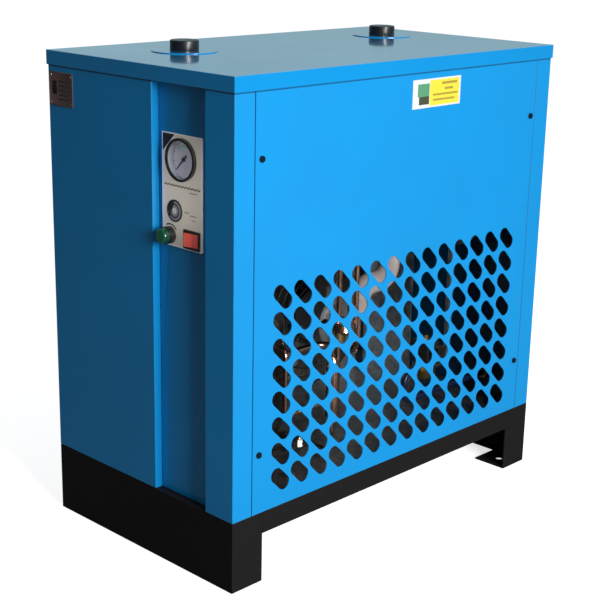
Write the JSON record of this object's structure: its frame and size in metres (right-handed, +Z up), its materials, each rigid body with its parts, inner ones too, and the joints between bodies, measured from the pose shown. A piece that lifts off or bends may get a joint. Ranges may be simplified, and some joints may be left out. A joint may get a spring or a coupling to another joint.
{
  "type": "refrigerated air dryer",
  "caption": "Upright sheet-metal air dryer cabinet with slotted side grilles, a recessed gauge panel, capped pipe ports on top and a raised black base.",
  "frame": {"origin": "middle of the footprint, on the floor", "axes": "+Z up; the recessed control side faces -Y; +X is to the right as one faces the controls"},
  "size_m": [0.401, 0.7165, 0.7362],
  "materials": {
    "cabinet_blue": "smooth semi-gloss powder coat",
    "cover_blue": "glossy baked paint that mirrors the sky",
    "base_black": "fine-textured satin black powder coat",
    "zinc_steel": "zinc-coated sheet with a dull spangle",
    "black_screw": "black oxide",
    "plate_aluminium": "fine brushed, printed with plain marks",
    "gauge_black": "black enamel",
    "dial_white": "matte white with a printed scale",
    "needle_black": "matte black",
    "gauge_glass": "clear",
    "switch_black": "moulded",
    "lamp_green": "tinted, ribbed inside",
    "rocker_red": "moulded",
    "pipe_steel": "drawn steel",
    "cap_black": "moulded polyethylene",
    "foam_black": "closed-cell elastomer foam",
    "foam_grey": "closed-cell polyethylene foam",
    "copper": "drawn copper, slightly dulled",
    "compressor_black": "glossy black dip paint",
    "foot_rubber": "moulded",
    "stud_steel": "bright zinc",
    "black_plastic": "glass-filled nylon",
    "fin_aluminium": "mill finish",
    "motor_aluminium": "die cast",
    "guard_black": "powder-coated wire",
    "valve_brass": "machined",
    "hose_blue": "polyurethane tube",
    "box_grey": "light grey powder coat"
  },
  "bodies": {
    "cabinet": {"base_front_beam": "base_black", "base_rear_beam": "base_black", "base_side_rails": "base_black", "floor_pan": "zinc_steel", "front_right_post": "cabinet_blue", "front_left_post": "cabinet_blue", "rear_right_post": "cabinet_blue", "rear_left_post": "cabinet_blue", "front_panel": "cabinet_blue", "control_channel": "cabinet_blue", "right_side_panel": "cabinet_blue", "left_side_panel": "cabinet_blue", "rear_panel": "cabinet_blue", "top_cover": "cover_blue", "port_plates": "cover_blue", "panel_screws": "black_screw", "instrument_plate": "plate_aluminium", "gauge_case": "gauge_black", "gauge_dial": "dial_white", "gauge_lens": "gauge_glass", "gauge_bezel": "gauge_black", "lamp_body": "switch_black", "lamp_lens": "lamp_green", "rocker_housing": "switch_black", "inlet_pipe": "pipe_steel", "outlet_pipe": "pipe_steel", "exchanger_shell": "pipe_steel", "exchanger_insulation": "foam_black", "exchanger_stands": "zinc_steel", "evaporator_bundle": "copper", "compressor": "compressor_black", "compressor_grommets": "foot_rubber", "compressor_studs": "stud_steel", "terminal_cover": "black_plastic", "condenser_fins": "fin_aluminium", "condenser_tubes": "copper", "condenser_frame": "zinc_steel", "fan_shroud": "zinc_steel", "fan_motor": "motor_aluminium", "fan_guard": "guard_black", "separator": "pipe_steel", "drain_valve": "valve_brass", "drain_coil": "black_plastic", "drain_hose": "hose_blue", "drain_outlet": "valve_brass", "filter_drier": "copper", "capillary": "copper", "discharge_line": "copper", "suction_line": "copper", "suction_insulation": "foam_grey", "liquid_line": "copper", "hot_gas_valve": "valve_brass", "hot_gas_line": "copper", "electrical_box": "box_grey", "cable_gland": "black_plastic"},
    "fan": {"fan_impeller": "black_plastic"},
    "rocker": {"rocker": "rocker_red"},
    "needle": {"gauge_needle": "needle_black"},
    "inlet_cap": {"inlet_cap": "cap_black"},
    "outlet_cap": {"outlet_cap": "cap_black"}
  },
  "joints": [
    {"name": "fan_spin", "type": "hinge", "parent": "cabinet", "child": "fan", "pos_m": [-0.1, 0.11, 0.251], "axis": [1, 0, 0], "continuous": true},
    {"name": "rocker_tilt", "type": "hinge", "parent": "cabinet", "child": "rocker", "pos_m": [0.104, -0.3345, 0.49], "axis": [0, 0, -1], "range_deg": [0, 18]},
    {"name": "needle_turn", "type": "hinge", "parent": "cabinet", "child": "needle", "pos_m": [0.083, -0.3365, 0.597], "axis": [0, 1, 0], "range_deg": [0, 270], "stiffness_Nm_per_rad": 0.0004},
    {"name": "inlet_cap_pull", "type": "slide", "parent": "cabinet", "child": "inlet_cap", "axis": [0, 0, 1], "range_m": [0, 0.06]},
    {"name": "outlet_cap_pull", "type": "slide", "parent": "cabinet", "child": "outlet_cap", "axis": [0, 0, 1], "range_m": [0, 0.06]}
  ]
}
